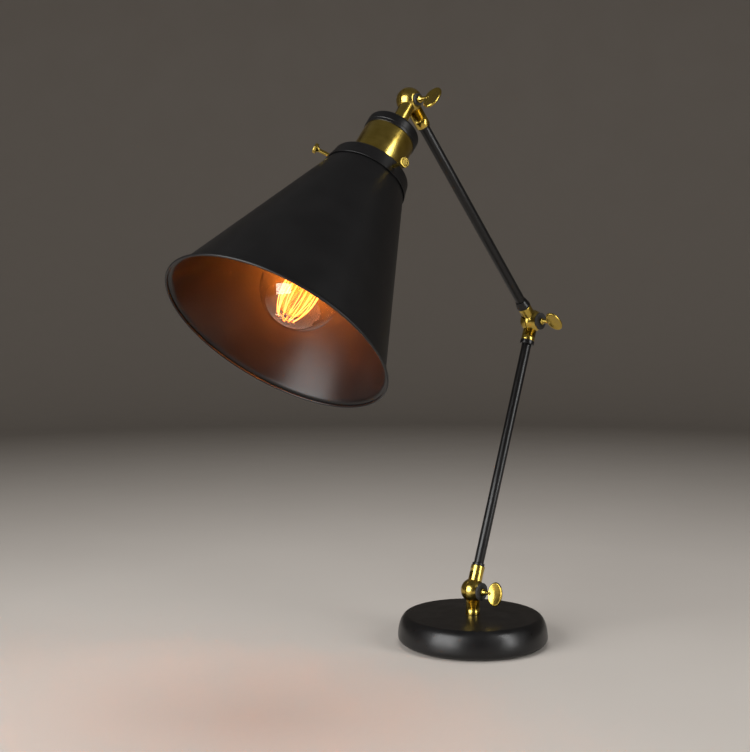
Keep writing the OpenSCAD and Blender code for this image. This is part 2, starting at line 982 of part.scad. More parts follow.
// One strand of the filament, between its upper and its lower support
module strand(i) {
    turn = 360 * i / filament_strands;
    slant = 360 / filament_strands / 2 - 2.5;
    up = turn + (i % 2 == 0 ? slant : -slant);
    low = turn - (i % 2 == 0 ? slant : -slant);
    rod([filament_top_r * cos(up), filament_top_r * sin(up), filament_top],
        [filament_foot_r * cos(low), filament_foot_r * sin(low), filament_foot], filament_r, 8);
}

module bulb_filament() {
    color([1, 0.75, 0.3])
        head_frame()
            for (i = [0:filament_strands - 1])
                strand(i);
}

module filament_supports() {
    color(STEEL)
        head_frame()
            for (i = [0:filament_strands - 1])
                rotate(360 * (i + 0.5) / filament_strands)
                    if (i % 2 == 0)
                        rod([stalk_r + 0.05, 0, filament_top - support_gap],
                            [filament_top_r, 0, filament_top - support_gap], support_r);
                    else
                        rod([button_r + 0.05, 0, filament_foot + support_gap],
                            [filament_foot_r, 0, filament_foot + support_gap], support_r);
}

base_cover();
base_weight();
base_plate();
plate_screws();
base_pad();
cord_grommet();
connector_block();
connector_screws();
base_leads();
base_nipple();
base_washer();
base_nut();
stem_half();
lower_friction_washer();
lower_thumb_screw();
lower_arm_foot_half();
lower_clamp_washer();
lower_arm_foot_ring();
lower_arm_tube();
lower_arm_top_ring();
lower_arm_top_half();
elbow_friction_washer();
lower_arm_leads();
elbow_thumb_screw();
upper_arm_foot_half();
elbow_clamp_washer();
upper_arm_foot_ring();
upper_arm_tube();
upper_arm_top_ring();
upper_arm_top_half();
head_friction_washer();
upper_arm_leads();
head_thumb_screw();
head_half();
head_clamp_washer();
holder_nipple();
holder_nut();
holder_cap();
holder_shell();
socket_body();
screw_shell();
centre_contact();
terminal_screws();
head_leads();
shade_holder();
shade_ring_nut();
shade();
shade_screw_front();
shade_screw_rear();
shade_screw_arm();
bulb_cap();
bulb_insulator();
bulb_contact();
bulb_glass();
bulb_mount();
bulb_filament();
filament_supports();
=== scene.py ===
"""Looks for the swing arm desk lamp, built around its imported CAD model."""

import json
import math

import bmesh
import bpy
import numpy as np
from mathutils import Matrix, Vector

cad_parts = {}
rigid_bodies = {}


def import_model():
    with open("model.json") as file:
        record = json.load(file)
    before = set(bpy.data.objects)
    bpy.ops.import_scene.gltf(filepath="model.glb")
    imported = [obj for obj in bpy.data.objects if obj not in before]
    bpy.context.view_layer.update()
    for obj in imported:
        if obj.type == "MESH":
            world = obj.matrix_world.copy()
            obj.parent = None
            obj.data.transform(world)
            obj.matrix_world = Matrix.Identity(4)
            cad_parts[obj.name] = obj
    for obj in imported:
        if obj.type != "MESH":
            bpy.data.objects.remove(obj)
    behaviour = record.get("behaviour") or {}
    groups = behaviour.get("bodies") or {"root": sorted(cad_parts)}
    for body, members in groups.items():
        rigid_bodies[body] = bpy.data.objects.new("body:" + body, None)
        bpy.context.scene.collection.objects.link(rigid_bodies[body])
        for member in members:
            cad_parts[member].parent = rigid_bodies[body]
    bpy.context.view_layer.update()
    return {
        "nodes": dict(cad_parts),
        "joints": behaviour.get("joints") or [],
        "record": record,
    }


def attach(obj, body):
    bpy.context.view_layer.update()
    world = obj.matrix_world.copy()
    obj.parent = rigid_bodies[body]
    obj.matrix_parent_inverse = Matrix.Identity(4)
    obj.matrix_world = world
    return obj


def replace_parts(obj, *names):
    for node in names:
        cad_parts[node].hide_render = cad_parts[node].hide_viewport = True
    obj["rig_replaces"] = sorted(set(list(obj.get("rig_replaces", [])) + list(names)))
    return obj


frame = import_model()
NODES = frame["nodes"]
JOINTS = {j["name"]: j for j in frame["joints"]}
SCENE = bpy.context.scene
MM = 0.001

# ------------------------------------------------------------------ sizes, in millimetres, as in the CAD

BALL_R = 12.0
NECK_R = 6.9
TUBE_R = 5.0
TUBE_WALL = 1.0
NIPPLE_R = 5.0
SOCKET_DEPTH = 7.0
FACE = 0.4
SWING_GAP = 0.3
BALL_FLAT = 9.8
CHAMBER_R = 7.2
CHAMBER_DEPTH = 6.5
BORE_R = 3.3
SCREW_R = 2.0
SCREW_HOLE_R = 2.05
FIT = 0.03
STEM_LEN = 24.2
FOOT_NECK = 25.0
ELBOW_LOW_NECK = 21.5
ELBOW_HIGH_NECK = 21.0
TIP_NECK = 29.0
ARM_L = 285.5
WASHER_T = 2.2
WASHER_R = 8.8
HEAD_WASHER_R = 5.6
WING_REACH = 28.0
WING_L = 16.6
WING_W = 24.0
BASE_R = 75.0
BASE_H = 28.8
COVER_WALL = 1.2
COVER_HOLE_R = 62.0
CORD_HOLE_R = 5.55
CORD_HOLE_Z = 11.5
HEAD_NECK = 36.5
HEAD_SHIFT = 2.2
CAP_R = 25.0
CAP_END = 49.0
SHELL_R = 24.3
SHELL_END = 86.3
SHELL_WALL = 0.8
SOCKET_R = 20.2
CUP_TOP = 86.33
CUP_H = 14.9
RIM_S = 274.73
CONE_RIM_R = 100.9
SHADE_WALL = 0.8
CUP_WALL = 1.2
CUP_FOOT_R = 39.6
SLOPE = (CONE_RIM_R - (CUP_FOOT_R - CUP_WALL - 0.3)) / (RIM_S - CUP_TOP - CUP_H)
RIM_H = 6.0
BEAD_R = 1.1
BEAD_RING_R = 102.8
SCREW_S = CUP_TOP + 7.4
SHADE_SCREW_R = 1.75
SHADE_HOLE_R = 1.8
KNOB_R = 4.7
KNOB_T = 3.0
BULB_TIP = 88.3
BULB_L = 172.0
CAP_S = 91.9
PITCH = 3.63
THREAD_TURNS = 6
THREAD_DEPTH = 0.55
THREAD_END = CAP_S + THREAD_TURNS * PITCH
GLASS_NECK_S = THREAD_END + 3
GLASS_NECK_R = 13.4
GLOBE_R = 36.0
GLOBE_S = BULB_TIP + BULB_L - GLOBE_R
GLASS_WALL = 0.4             # the CAD's is thicker
WIRE_R = 0.3


def cone_r(s):
    return CONE_RIM_R - SLOPE * (RIM_S - s)


# ------------------------------------------------------------------ frames of the moving parts

P1, P2, P3 = (Vector(JOINTS[n]["pos_m"]) for n in ("lower_joint", "elbow_joint", "head_joint"))
HEAD_AXIS = Vector(JOINTS["bulb_turn"]["axis"]).normalized()


def frame_at(origin, z_axis, y_axis=(0, 1, 0)):
    """Frame with its Z along z_axis and its Y as near to y_axis as that allows."""
    z = Vector(z_axis).normalized()
    x = Vector(y_axis).cross(z).normalized()
    y = z.cross(x)
    m = Matrix((x, y, z)).transposed().to_4x4()
    m.translation = origin
    return m


LOWER = frame_at(P1, P2 - P1)
LOWER_TOP = frame_at(P2, P1 - P2)
UPPER = frame_at(P2, P3 - P2)
UPPER_TOP = frame_at(P3, P2 - P3)
STEM = frame_at(P1, (0, 0, -1))
HEAD_BALL = frame_at(P3, HEAD_AXIS)
HEAD = HEAD_BALL @ Matrix.Translation((0, -HEAD_SHIFT * MM, 0))
WORLD = Matrix.Identity(4)


# ------------------------------------------------------------------ mesh helpers


def arc(x, y, rx, ry, a0, a1, n):
    """Points on an arc or on a quarter of an ellipse, angles in degrees."""
    return [
        (x + rx * math.cos(math.radians(a0 + (a1 - a0) * i / n)),
         y + ry * math.sin(math.radians(a0 + (a1 - a0) * i / n)))
        for i in range(n + 1)
    ]


def bezier(a, b, c, d, n):
    """Points on a cubic Bezier curve."""
    a, b, c, d = map(Vector, (a, b, c, d))
    points = []
    for i in range(n + 1):
        t = i / n
        p = (1 - t) ** 3 * a + 3 * (1 - t) ** 2 * t * b + 3 * (1 - t) * t * t * c + t ** 3 * d
        points.append((p.x, p.y))
    return points


def softened(points, radius, n=3, closed=True):
    """The outline with each of its corners turned into a small arc. radius is one number or one per corner."""
    out = []
    count = len(points)
    for i, p in enumerate(points):
        r = radius[i] if isinstance(radius, (list, tuple)) else radius
        if r <= 0 or (not closed and i in (0, count - 1)):
            out.append(p)
            continue
        p = Vector(p)
        before = Vector(points[i - 1]) - p
        after = Vector(points[(i + 1) % count]) - p
        if before.length < 1e-6 or after.length < 1e-6:
            out.append(tuple(p))
            continue
        a, b = before.normalized(), after.normalized()
        turn = a.angle(b)
        if turn > math.radians(168) or turn < math.radians(4):
            out.append(tuple(p))
            continue
        reach = min(r / math.tan(turn / 2), before.length * 0.45, after.length * 0.45)
        for k in range(n + 1):
            t = k / n
            u = (1 - t) ** 2 * (p + a * reach) + 2 * t * (1 - t) * p + t * t * (p + b * reach)
            out.append((u.x, u.y))
    return out


def finish_mesh(bm, name, matrix, angle=32):
    """Turns the bmesh, in millimetres, into an object in the given frame."""
    bmesh.ops.remove_doubles(bm, verts=bm.verts, dist=0.0005)
    bmesh.ops.recalc_face_normals(bm, faces=bm.faces)
    bmesh.ops.scale(bm, vec=(MM, MM, MM), verts=bm.verts)
    mesh = bpy.data.meshes.new(name)
    bm.to_mesh(mesh)
    bm.free()
    obj = bpy.data.objects.new(name, mesh)
    SCENE.collection.objects.link(obj)
    obj.matrix_world = matrix
    smooth(mesh, angle)
    return obj


def smooth(mesh, angle=32):
    mesh.polygons.foreach_set("use_smooth", [True] * len(mesh.polygons))
    mesh.set_sharp_from_angle(angle=math.radians(angle))
    mesh.update()


def lathe_bm(profile, segments=96, closed=True, wobble=None):
    """Turns an outline of (radius, height) points round Z. wobble(i, angle) scales the radius of point i."""
    bm = bmesh.new()
    rings = []
    for i, (r, z) in enumerate(profile):
        if r < 1e-5:
            rings.append([bm.verts.new((0, 0, z))])
            continue
        ring = []
        for k in range(segments):
            a = 2 * math.pi * k / segments
            q = r * (wobble(i, a) if wobble else 1)
            ring.append(bm.verts.new((q * math.cos(a), q * math.sin(a), z)))
        rings.append(ring)
    pairs = list(zip(rings, rings[1:]))
    if closed:
        pairs.append((rings[-1], rings[0]))
    for a, b in pairs:
        for k in range(segments):
            j = (k + 1) % segments
            if len(a) == 1 and len(b) == 1:
                break
            if len(a) == 1:
                bm.faces.new((a[0], b[j], b[k]))
            elif len(b) == 1:
                bm.faces.new((a[k], a[j], b[0]))
            else:
                bm.faces.new((a[k], a[j], b[j], b[k]))
    return bm


def lathe(name, profile, matrix, segments=96, closed=True, wobble=None, angle=32):
    return finish_mesh(lathe_bm(profile, segments, closed, wobble), name, matrix, angle)


def combine(target, other, operation, angle=32):
    """Unites, cuts or intersects target with other, which is then removed."""
    mod = target.modifiers.new("combine", "BOOLEAN")
    mod.object = other
    mod.operation = operation
    mod.solver = "EXACT"
    bpy.context.view_layer.update()
    dg = bpy.context.evaluated_depsgraph_get()
    mesh = bpy.data.meshes.new_from_object(target.evaluated_get(dg))
    target.modifiers.clear()
    old = target.data
    target.data = mesh
    bpy.data.meshes.remove(old)
    bpy.data.objects.remove(other, do_unlink=True)
    bm = bmesh.new()
    bm.from_mesh(mesh)
    bmesh.ops.remove_doubles(bm, verts=bm.verts, dist=0.000001)
    bmesh.ops.dissolve_degenerate(bm, edges=bm.edges, dist=0.000001)
    bm.to_mesh(mesh)
    bm.free()
    smooth(mesh, angle)


def loop_bm(points, radius, sides):
    """A round wire along a closed list of points, with parallel-carried rings."""
    bm = bmesh.new()
    pts = [Vector(p) for p in points]
    n = len(pts)
    rings = []
    normal = None
    for i, p in enumerate(pts):
        d = (pts[(i + 1) % n] - pts[i - 1]).normalized()
        if normal is None:
            normal = d.orthogonal().normalized()
        normal = (normal - d * normal.dot(d)).normalized()
        side = d.cross(normal)
        rings.append([
            bm.verts.new(p + radius * (math.cos(a) * normal + math.sin(a) * side))
            for a in (2 * math.pi * k / sides for k in range(sides))
        ])
    # the last ring joins the first, turned by as many steps as lie nearest
    shift = min(range(sides), key=lambda k: (rings[-1][0].co - rings[0][k].co).length)
    rings.append(rings[0][shift:] + rings[0][:shift])
    for a, b in zip(rings, rings[1:]):
        for k in range(sides):
            j = (k + 1) % sides
            bm.faces.new((a[k], a[j], b[j], b[k]))
    return bm


# ------------------------------------------------------------------ materials


class Shader:
    """A Principled material with short helpers for its nodes."""

    def __init__(self, name, **values):
        self.material = bpy.data.materials.new(name)
        self.material.use_nodes = True
        self.tree = self.material.node_tree
        self.bsdf = self.tree.nodes["Principled BSDF"]
        for key, value in values.items():
            self.bsdf.inputs[key.replace("_", " ")].default_value = value

    def node(self, kind, **inputs):
        n = self.tree.nodes.new(kind)
        for key, value in inputs.items():
            n.inputs[key.replace("_", " ")].default_value = value
        return n

    def link(self, a, b):
        self.tree.links.new(a, b)

    def coords(self, scale=(1, 1, 1)):
        c = self.tree.nodes.new("ShaderNodeTexCoord")
        m = self.tree.nodes.new("ShaderNodeMapping")
        m.inputs["Scale"].default_value = scale
        self.link(c.outputs["Object"], m.inputs["Vector"])
        return m.outputs["Vector"]

    def noise(self, scale, detail=4.0, stretch=(1, 1, 1), roughness=0.5):
        n = self.node("ShaderNodeTexNoise", Scale=scale, Detail=detail, Roughness=roughness)
        self.link(self.coords(stretch), n.inputs["Vector"])
        return n.outputs["Fac"]

    def cells(self, scale):
        n = self.node("ShaderNodeTexVoronoi", Scale=scale)
        self.link(self.coords(), n.inputs["Vector"])
        return n.outputs["Distance"]

    def ramp(self, fac, stops):
        n = self.tree.nodes.new("ShaderNodeValToRGB")
        while len(n.color_ramp.elements) < len(stops):
            n.color_ramp.elements.new(0.5)
        for e, (at, rgb) in zip(n.color_ramp.elements, stops):
            e.position = at
            e.color = (*rgb, 1)
        self.link(fac, n.inputs["Fac"])
        return n.outputs["Color"]

    def remap(self, fac, low, high, start=0.3, end=0.7):
        n = self.node("ShaderNodeMapRange", From_Min=start, From_Max=end, To_Min=low, To_Max=high)
        self.link(fac, n.inputs["Value"])
        return n.outputs["Result"]

    def add(self, a, b, share=1.0):
        n = self.tree.nodes.new("ShaderNodeMath")
        n.operation = "MULTIPLY_ADD"
        self.link(b, n.inputs[0])
        n.inputs[1].default_value = share
        self.link(a, n.inputs[2])
        return n.outputs["Value"]

    def color(self, output):
        self.link(output, self.bsdf.inputs["Base Color"])

    def rough(self, fac, low, high, start=0.3, end=0.7):
        self.link(self.remap(fac, low, high, start, end), self.bsdf.inputs["Roughness"])

    def bump(self, height, depth, strength=1.0):
        """depth is in metres."""
        n = self.node("ShaderNodeBump", Strength=strength, Distance=depth)
        self.link(height, n.inputs["Height"])
        self.link(n.outputs["Normal"], self.bsdf.inputs["Normal"])


PAINT_SPECULAR, INNER_SPECULAR = 0.36, 0.27
PAINT_PEEL = 0.00002


def black_paint(name, dark, light, low, high):
    s = Shader(name, Specular_IOR_Level=PAINT_SPECULAR)
    s.color(s.ramp(s.noise(35, 5), [(0.3, dark), (0.7, light)]))
    s.rough(s.add(s.noise(60, 4), s.noise(900, 2), 0.35), low, high, 0.45, 0.9)
    s.bump(s.add(s.noise(1500, 2), s.noise(260, 2), 0.6), PAINT_PEEL, 0.35)
    return s.material


def shade_paint(name, dark, light, low, high, inner_gloss):
    """Black paint, smoother but less reflective on the faces that look at the axis of turning."""
    s = Shader(name)
    s.color(s.ramp(s.noise(35, 5), [(0.3, dark), (0.7, light)]))
    outward = s.tree.nodes.new("ShaderNodeVectorMath")
    outward.operation = "DOT_PRODUCT"
    s.link(s.tree.nodes.new("ShaderNodeTexCoord").outputs["Normal"], outward.inputs[0])
    s.link(s.coords((1, 1, 0)), outward.inputs[1])
    inside = s.remap(outward.outputs["Value"], 1, 0, -0.01, 0.01)
    grain = s.remap(s.add(s.noise(60, 4), s.noise(900, 2), 0.35), low, high, 0.45, 0.9)
    s.link(s.add(grain, inside, -inner_gloss), s.bsdf.inputs["Roughness"])
    s.link(s.remap(inside, PAINT_SPECULAR, INNER_SPECULAR, 0, 1), s.bsdf.inputs["Specular IOR Level"])
    s.bump(s.add(s.noise(1500, 2), s.noise(260, 2), 0.6), PAINT_PEEL, 0.35)
    return s.material


TURNED = (0.02, 0.02, 1.6)   # stretch that draws lines round an axis of turning


def metal(name, dark, light, low, high, depth=0.000004):
    """Metal with finely turned lines."""
    s = Shader(name, Metallic=1.0)
    tone = s.add(s.noise(45, 5, roughness=0.6), s.noise(700, 3, TURNED), 0.25)
    s.color(s.ramp(tone, [(0.35, dark), (0.85, light)]))
    s.rough(s.add(s.noise(90, 4), s.noise(900, 3, TURNED), 0.4), low, high, 0.4, 0.95)
    s.bump(s.noise(1200, 3, TURNED), depth, 0.5)
    return s.material


def rubber(name, dark, light, low=0.6, high=0.85, grain=2500, depth=0.00004):
    s = Shader(name)
    s.color(s.ramp(s.noise(120, 5), [(0.3, dark), (0.7, light)]))
    s.rough(s.noise(400, 3), low, high)
    s.bump(s.add(s.noise(grain, 3), s.cells(grain * 0.6), 0.5), depth, 0.5)
    return s.material


def cast_iron(name):
    s = Shader(name, Metallic=0.8)
    s.color(s.ramp(s.noise(90, 8, roughness=0.7),
                   [(0.3, (0.05, 0.048, 0.046)), (0.7, (0.12, 0.115, 0.11))]))
    s.rough(s.noise(300, 4), 0.55, 0.8)
    s.bump(s.add(s.noise(450, 6, roughness=0.7), s.cells(700), 0.5), 0.0004, 0.7)
    return s.material


def porcelain(name, dark, light):
    s = Shader(name, Coat_Weight=0.6, Coat_Roughness=0.08)
    s.color(s.ramp(s.noise(60, 5), [(0.3, dark), (0.7, light)]))
    s.rough(s.noise(200, 3), 0.18, 0.32)
    s.bump(s.noise(500, 2), 0.00003, 0.3)
    return s.material


def glass(name, tint):
    s = Shader(name, Transmission_Weight=1.0, IOR=1.45)
    s.color(s.ramp(s.noise(25, 3), [(0.3, tint), (0.7, tuple(min(1, c * 1.02) for c in tint))]))
    s.rough(s.noise(40, 3), 0.0, 0.03)
    return s.material


def glowing(name, strength):
    """Hot carbon wire: yellow-white, with duller orange patches at random."""
    s = Shader(name, Roughness=0.6)
    s.color(s.ramp(s.noise(300, 3), [(0.3, (0.9, 0.45, 0.12)), (0.7, (1.0, 0.6, 0.2))]))
    s.link(s.ramp(s.noise(90, 3), [(0.35, (1.0, 0.34, 0.05)), (0.65, (1.0, 0.56, 0.14))]),
           s.bsdf.inputs["Emission Color"])
    s.bsdf.inputs["Emission Strength"].default_value = strength
    return s.material


BRASS_DARK, BRASS_LIGHT = (0.44, 0.30, 0.045), (0.68, 0.50, 0.12)
MATERIALS = {
    "black_steel": black_paint("black_satin_paint", (0.0036, 0.0034, 0.0036),
                               (0.0062, 0.0058, 0.0060), 0.27, 0.38),
    "black_aluminium": shade_paint("black_shade_paint", (0.0032, 0.0030, 0.0032),
                                   (0.0052, 0.0049, 0.0051), 0.38, 0.40, 0.06),
    "iron": cast_iron("cast_iron"),
    "zinc_steel": metal("zinc_plated_steel", (0.42, 0.43, 0.45), (0.62, 0.62, 0.60), 0.25, 0.42),
    "brass": metal("polished_brass", BRASS_DARK, BRASS_LIGHT, 0.18, 0.30),
    "rubber": rubber("black_rubber", (0.012, 0.012, 0.012), (0.024, 0.023, 0.022)),
    "fibre": rubber("pressed_fibre", (0.10, 0.06, 0.035), (0.18, 0.12, 0.07), 0.7, 0.9, 1800),
    "ivory_plastic": porcelain("ivory_plastic", (0.72, 0.68, 0.55), (0.82, 0.79, 0.68)),
    "wire_insulation": rubber("wire_insulation", (0.16, 0.07, 0.03), (0.26, 0.12, 0.05),
                              0.4, 0.6, 1500, 0.00002),
    "black_plastic": rubber("black_insulator", (0.010, 0.010, 0.012), (0.018, 0.018, 0.02),
                            0.25, 0.4, 900, 0.00001),
    "porcelain": porcelain("glazed_porcelain", (0.78, 0.76, 0.70), (0.88, 0.87, 0.83)),
    "nickel": metal("nickel_plate", (0.50, 0.48, 0.44), (0.70, 0.68, 0.63), 0.16, 0.3),
    "clear_glass": glass("clear_bulb_glass", (1.0, 0.975, 0.93)),
    "mount_glass": glass("glass_stem", (0.96, 0.97, 0.95)),
    "tungsten": glowing("glowing_filament", 1.5),
}
SLOT = {r["node"]: r["material_slot"] for r in frame["record"]["subparts"]}


def piece(obj, body, node, material=None):
    """obj stands for a CAD node, takes its slot's material, and rides on its body."""
    slot = SLOT[node]
    obj.data.materials.clear()
    obj.data.materials.append(material or MATERIALS[slot])
    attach(obj, body)
    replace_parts(obj, node)


# ------------------------------------------------------------------ base

UP_Y = Matrix.Rotation(math.radians(-90), 4, "X")      # turns a lathe's Z to +Y
DOWN_Y = Matrix.Rotation(math.radians(90), 4, "X")     # turns a lathe's Z to -Y


def base_outline(t):
    """The cover's side, from its flat top to its underside, t inside its outer face."""
    widest_z, shoulder, foot = 7.3, 9.5, 8
    return (arc(BASE_R - shoulder, widest_z, shoulder - t, BASE_H - widest_z - t, 90, 0, 24)
            + arc(BASE_R - foot, widest_z, foot - t, widest_z - 1 - t, 0, -90, 12))


outer = [(NIPPLE_R + 0.1, BASE_H)] + base_outline(0) + [(COVER_HOLE_R, 1)]
inner = ([(COVER_HOLE_R, 1 + COVER_WALL)] + base_outline(COVER_WALL)[::-1]
         + [(NIPPLE_R + 0.1, BASE_H - COVER_WALL)])
cover = lathe("base_cover_skin", outer + inner, WORLD, 224)
outwards = (Matrix.Translation(Vector((BASE_R, 0, CORD_HOLE_Z)) * MM)
            @ Matrix.Rotation(math.radians(90), 4, "Y"))
hole = lathe("tool", [(0, -8), (CORD_HOLE_R, -8), (CORD_HOLE_R, 8), (0, 8)], outwards, 48, False)
combine(cover, hole, "DIFFERENCE")
piece(cover, "base", "base_cover")

# ------------------------------------------------------------------ joints


def joint_half(name, matrix, side, neck_len, socket_r, neck_matrix):
    """Half ball with its neck along the frame's +Z. side 1 is the threaded half, -1 the clamped one."""
    edge_r = math.sqrt(BALL_R ** 2 - FACE ** 2)
    start = math.degrees(math.asin(FACE / BALL_R))
    if side > 0:
        dome = arc(0, 0, BALL_R, BALL_R, start + 2.2, 90, 26)
        core = [(0, 10.6), (SCREW_HOLE_R, 10.6)]
    else:
        stop = math.degrees(math.asin(BALL_FLAT / BALL_R))
        flat_r = math.sqrt(BALL_R ** 2 - BALL_FLAT ** 2)
        dome = arc(0, 0, BALL_R, BALL_R, start + 2.2, stop - 2, 22) + [(flat_r - 0.5, BALL_FLAT)]
        core = [(SCREW_HOLE_R + 0.25, BALL_FLAT), (SCREW_HOLE_R, BALL_FLAT - 0.25)]
    outline = ([(CHAMBER_R, FACE), (edge_r - 0.45, FACE)] + dome + core
               + [(SCREW_HOLE_R, CHAMBER_DEPTH), (CHAMBER_R, CHAMBER_DEPTH)])
    ball = lathe(name, outline, matrix @ (UP_Y if side > 0 else DOWN_Y), 128, True)
    neck_line = softened(
        [(BORE_R, 7.6), (NECK_R, 7.6), (NECK_R, neck_len), (socket_r + FIT, neck_len),
         (socket_r + FIT, neck_len - SOCKET_DEPTH), (BORE_R, neck_len - SOCKET_DEPTH)],
        [0, 0, 0.55, 0.25, 0, 0], 4)
    neck = lathe("tool", neck_line, neck_matrix, 96)
    room_r = BALL_R + SWING_GAP
    room_line = arc(0, 0, room_r, room_r, -math.degrees(math.asin(FACE / room_r)), 90, 28) + [(0, -FACE)]
    room = lathe("tool", room_line, matrix @ (DOWN_Y if side > 0 else UP_Y), 128, False)
    combine(neck, room, "DIFFERENCE")
    bore = lathe("tool", [(0, 2), (BORE_R, 2), (BORE_R, 16), (0, 16)], neck_matrix, 48, False)
    combine(ball, bore, "DIFFERENCE")
    combine(ball, neck, "UNION", 28)
    # the mesh moves from the lathe's frame to the joint's, so that turned lines run round the neck
    ball.data.transform(neck_matrix.inverted() @ ball.matrix_world)
    ball.matrix_world = neck_matrix
    return ball


HALVES = [
    ("stem_half", "base", STEM, 1, STEM_LEN, NIPPLE_R, STEM),
    ("lower_arm_foot_half", "lower_arm", LOWER, -1, FOOT_NECK, TUBE_R, LOWER),
    ("lower_arm_top_half", "lower_arm", LOWER_TOP, 1, ELBOW_LOW_NECK, TUBE_R, LOWER_TOP),
    ("upper_arm_foot_half", "upper_arm", UPPER, -1, ELBOW_HIGH_NECK, TUBE_R, UPPER),
    ("upper_arm_top_half", "upper_arm", UPPER_TOP, 1, TIP_NECK, TUBE_R, UPPER_TOP),
    ("head_half", "head", HEAD_BALL, -1, HEAD_NECK, NIPPLE_R, HEAD),
]
for node, body, matrix, side, length, socket, neck_matrix in HALVES:
    piece(joint_half(node + "_brass", matrix, side, length, socket, neck_matrix), body, node)


def clamp_washer(name, centre, radius, body, node):
    line = softened([(SCREW_HOLE_R, BALL_FLAT), (radius, BALL_FLAT), (radius, BALL_FLAT + WASHER_T),
                     (SCREW_HOLE_R, BALL_FLAT + WASHER_T)], [0, 0.5, 0.7, 0.2], 4)
    obj = lathe(name, line, Matrix.Translation(centre) @ DOWN_Y, 96)
    piece(obj, body, node)


clamp_washer("lower_clamp_disc", P1, WASHER_R, "lower_arm", "lower_clamp_washer")
clamp_washer("elbow_clamp_disc", P2, WASHER_R, "upper_arm", "elbow_clamp_washer")
clamp_washer("head_clamp_disc", P3, HEAD_WASHER_R, "head", "head_clamp_washer")


def wing_bm(half_l, half_w, rings=22, steps=96):
    """Oval dished plate: length along X, width along Y, thickness along Z."""
    bm = bmesh.new()

    def half_thickness(q, x):
        body = 0.6 + 0.7 * min(1, q / 0.85) ** 2
        root = 0.75 * math.exp(-(((x + half_l) / 5.0) ** 2))
        edge = 1 if q < 0.9 else math.sqrt(max(0, 1 - ((q - 0.9) / 0.1) ** 2))
        return (body + root) * edge

    levels = [0.9 * k / (rings - 8) for k in range(1, rings - 7)]
    levels += [0.9 + 0.1 * math.sin(math.radians(90 * k / 8)) for k in range(1, 9)]
    top = [[bm.verts.new((0, 0, half_thickness(0, 0)))]]
    low = [[bm.verts.new((0, 0, -half_thickness(0, 0)))]]
    for q in levels:
        ring_top, ring_low = [], []
        for k in range(steps):
            a = 2 * math.pi * k / steps
            x, y = half_l * q * math.cos(a), half_w * q * math.sin(a)
            h = half_thickness(q, x * (0.35 + 0.65 * abs(math.cos(a))))
            ring_top.append(bm.verts.new((x, y, h)))
            if q < 0.9999:
                ring_low.append(bm.verts.new((x, y, -h)))
        top.append(ring_top)
        low.append(ring_low if q < 0.9999 else ring_top)
    for rings_of, flip in ((top, False), (low, True)):
        for a, b in zip(rings_of, rings_of[1:]):
            for k in range(steps):
                j = (k + 1) % steps
                f = (a[0], b[k], b[j]) if len(a) == 1 else (a[k], b[k], b[j], a[j])
                bm.faces.new(f[::-1] if flip else f)
    return bm


def thumb_screw(name, centre, turn, body, node):
    """Clamp screw along -Y with its oval wing turned from upright towards +X."""
    matrix = Matrix.Translation(centre) @ DOWN_Y
    stalk_end = WING_REACH - WING_L / 2 + 2.2
    line = softened(
        [(0, -10.2), (SCREW_R, -10.2), (SCREW_R, 12.05), (3.6, 12.05), (3.6, 13.85), (2.9, 14.1),
         (2.25, 16.2), (2.0, stalk_end - 1.4), (2.5, stalk_end + 0.6), (1.4, stalk_end + 1.6),
         (0, stalk_end + 1.6)],
        [0, 0.3, 0, 0.35, 0.35, 0.2, 0.8, 0.8, 0.4, 0.4, 0], 4, False)
    stalk = lathe(name, line, matrix, 64, False)
    bm = wing_bm(WING_L / 2, WING_W / 2)
    # plate X runs along the screw (-Y of the row), plate Y across it in the wing's direction
    across = Vector((math.sin(math.radians(turn)), 0, math.cos(math.radians(turn))))
    along = Vector((0, -1, 0))
    normal = along.cross(across)
    place = Matrix((along, across, normal)).transposed().to_4x4()
    place.translation = centre + along * WING_REACH * MM
    wing = finish_mesh(bm, "tool", place, 40)
    combine(stalk, wing, "UNION", 40)
    piece(stalk, body, node)


LOWER_WING_TURN, ELBOW_WING_TURN, HEAD_WING_TURN = 8, -45, 38   # degrees
thumb_screw("lower_wing_screw", P1, LOWER_WING_TURN, "lower_screw", "lower_thumb_screw")
thumb_screw("elbow_wing_screw", P2, ELBOW_WING_TURN, "elbow_screw", "elbow_thumb_screw")
thumb_screw("head_wing_screw", P3, HEAD_WING_TURN, "head_screw", "head_thumb_screw")

# ------------------------------------------------------------------ arms


def arm_tube(name, matrix, low_neck, high_neck, body, node):
    z0, z1 = low_neck - SOCKET_DEPTH, ARM_L - high_neck + SOCKET_DEPTH
    bore_r = TUBE_R - TUBE_WALL
    line = softened([(bore_r, z0), (TUBE_R, z0), (TUBE_R, z1), (bore_r, z1)], 0.25, 2)
    piece(lathe(name, line, matrix, 72), body, node)


def lock_ring(name, matrix, near_t, far_t, start, length, body, node):
    """Ferrule at the end of a neck, near_t and far_t thicker than the tube at its two ends."""
    end = start + length
    near_r, far_r = TUBE_R + near_t, TUBE_R + far_t
    points = [(TUBE_R + FIT, start), (near_r, start), (near_r, start + 0.2 * length), (far_r, end),
              (TUBE_R + FIT, end)]
    radii = [0.1, 0.3, 0.8, min(0.6, far_r - TUBE_R), 0.1]
    piece(lathe(name, softened(points, radii, 4), matrix, 96), body, node)


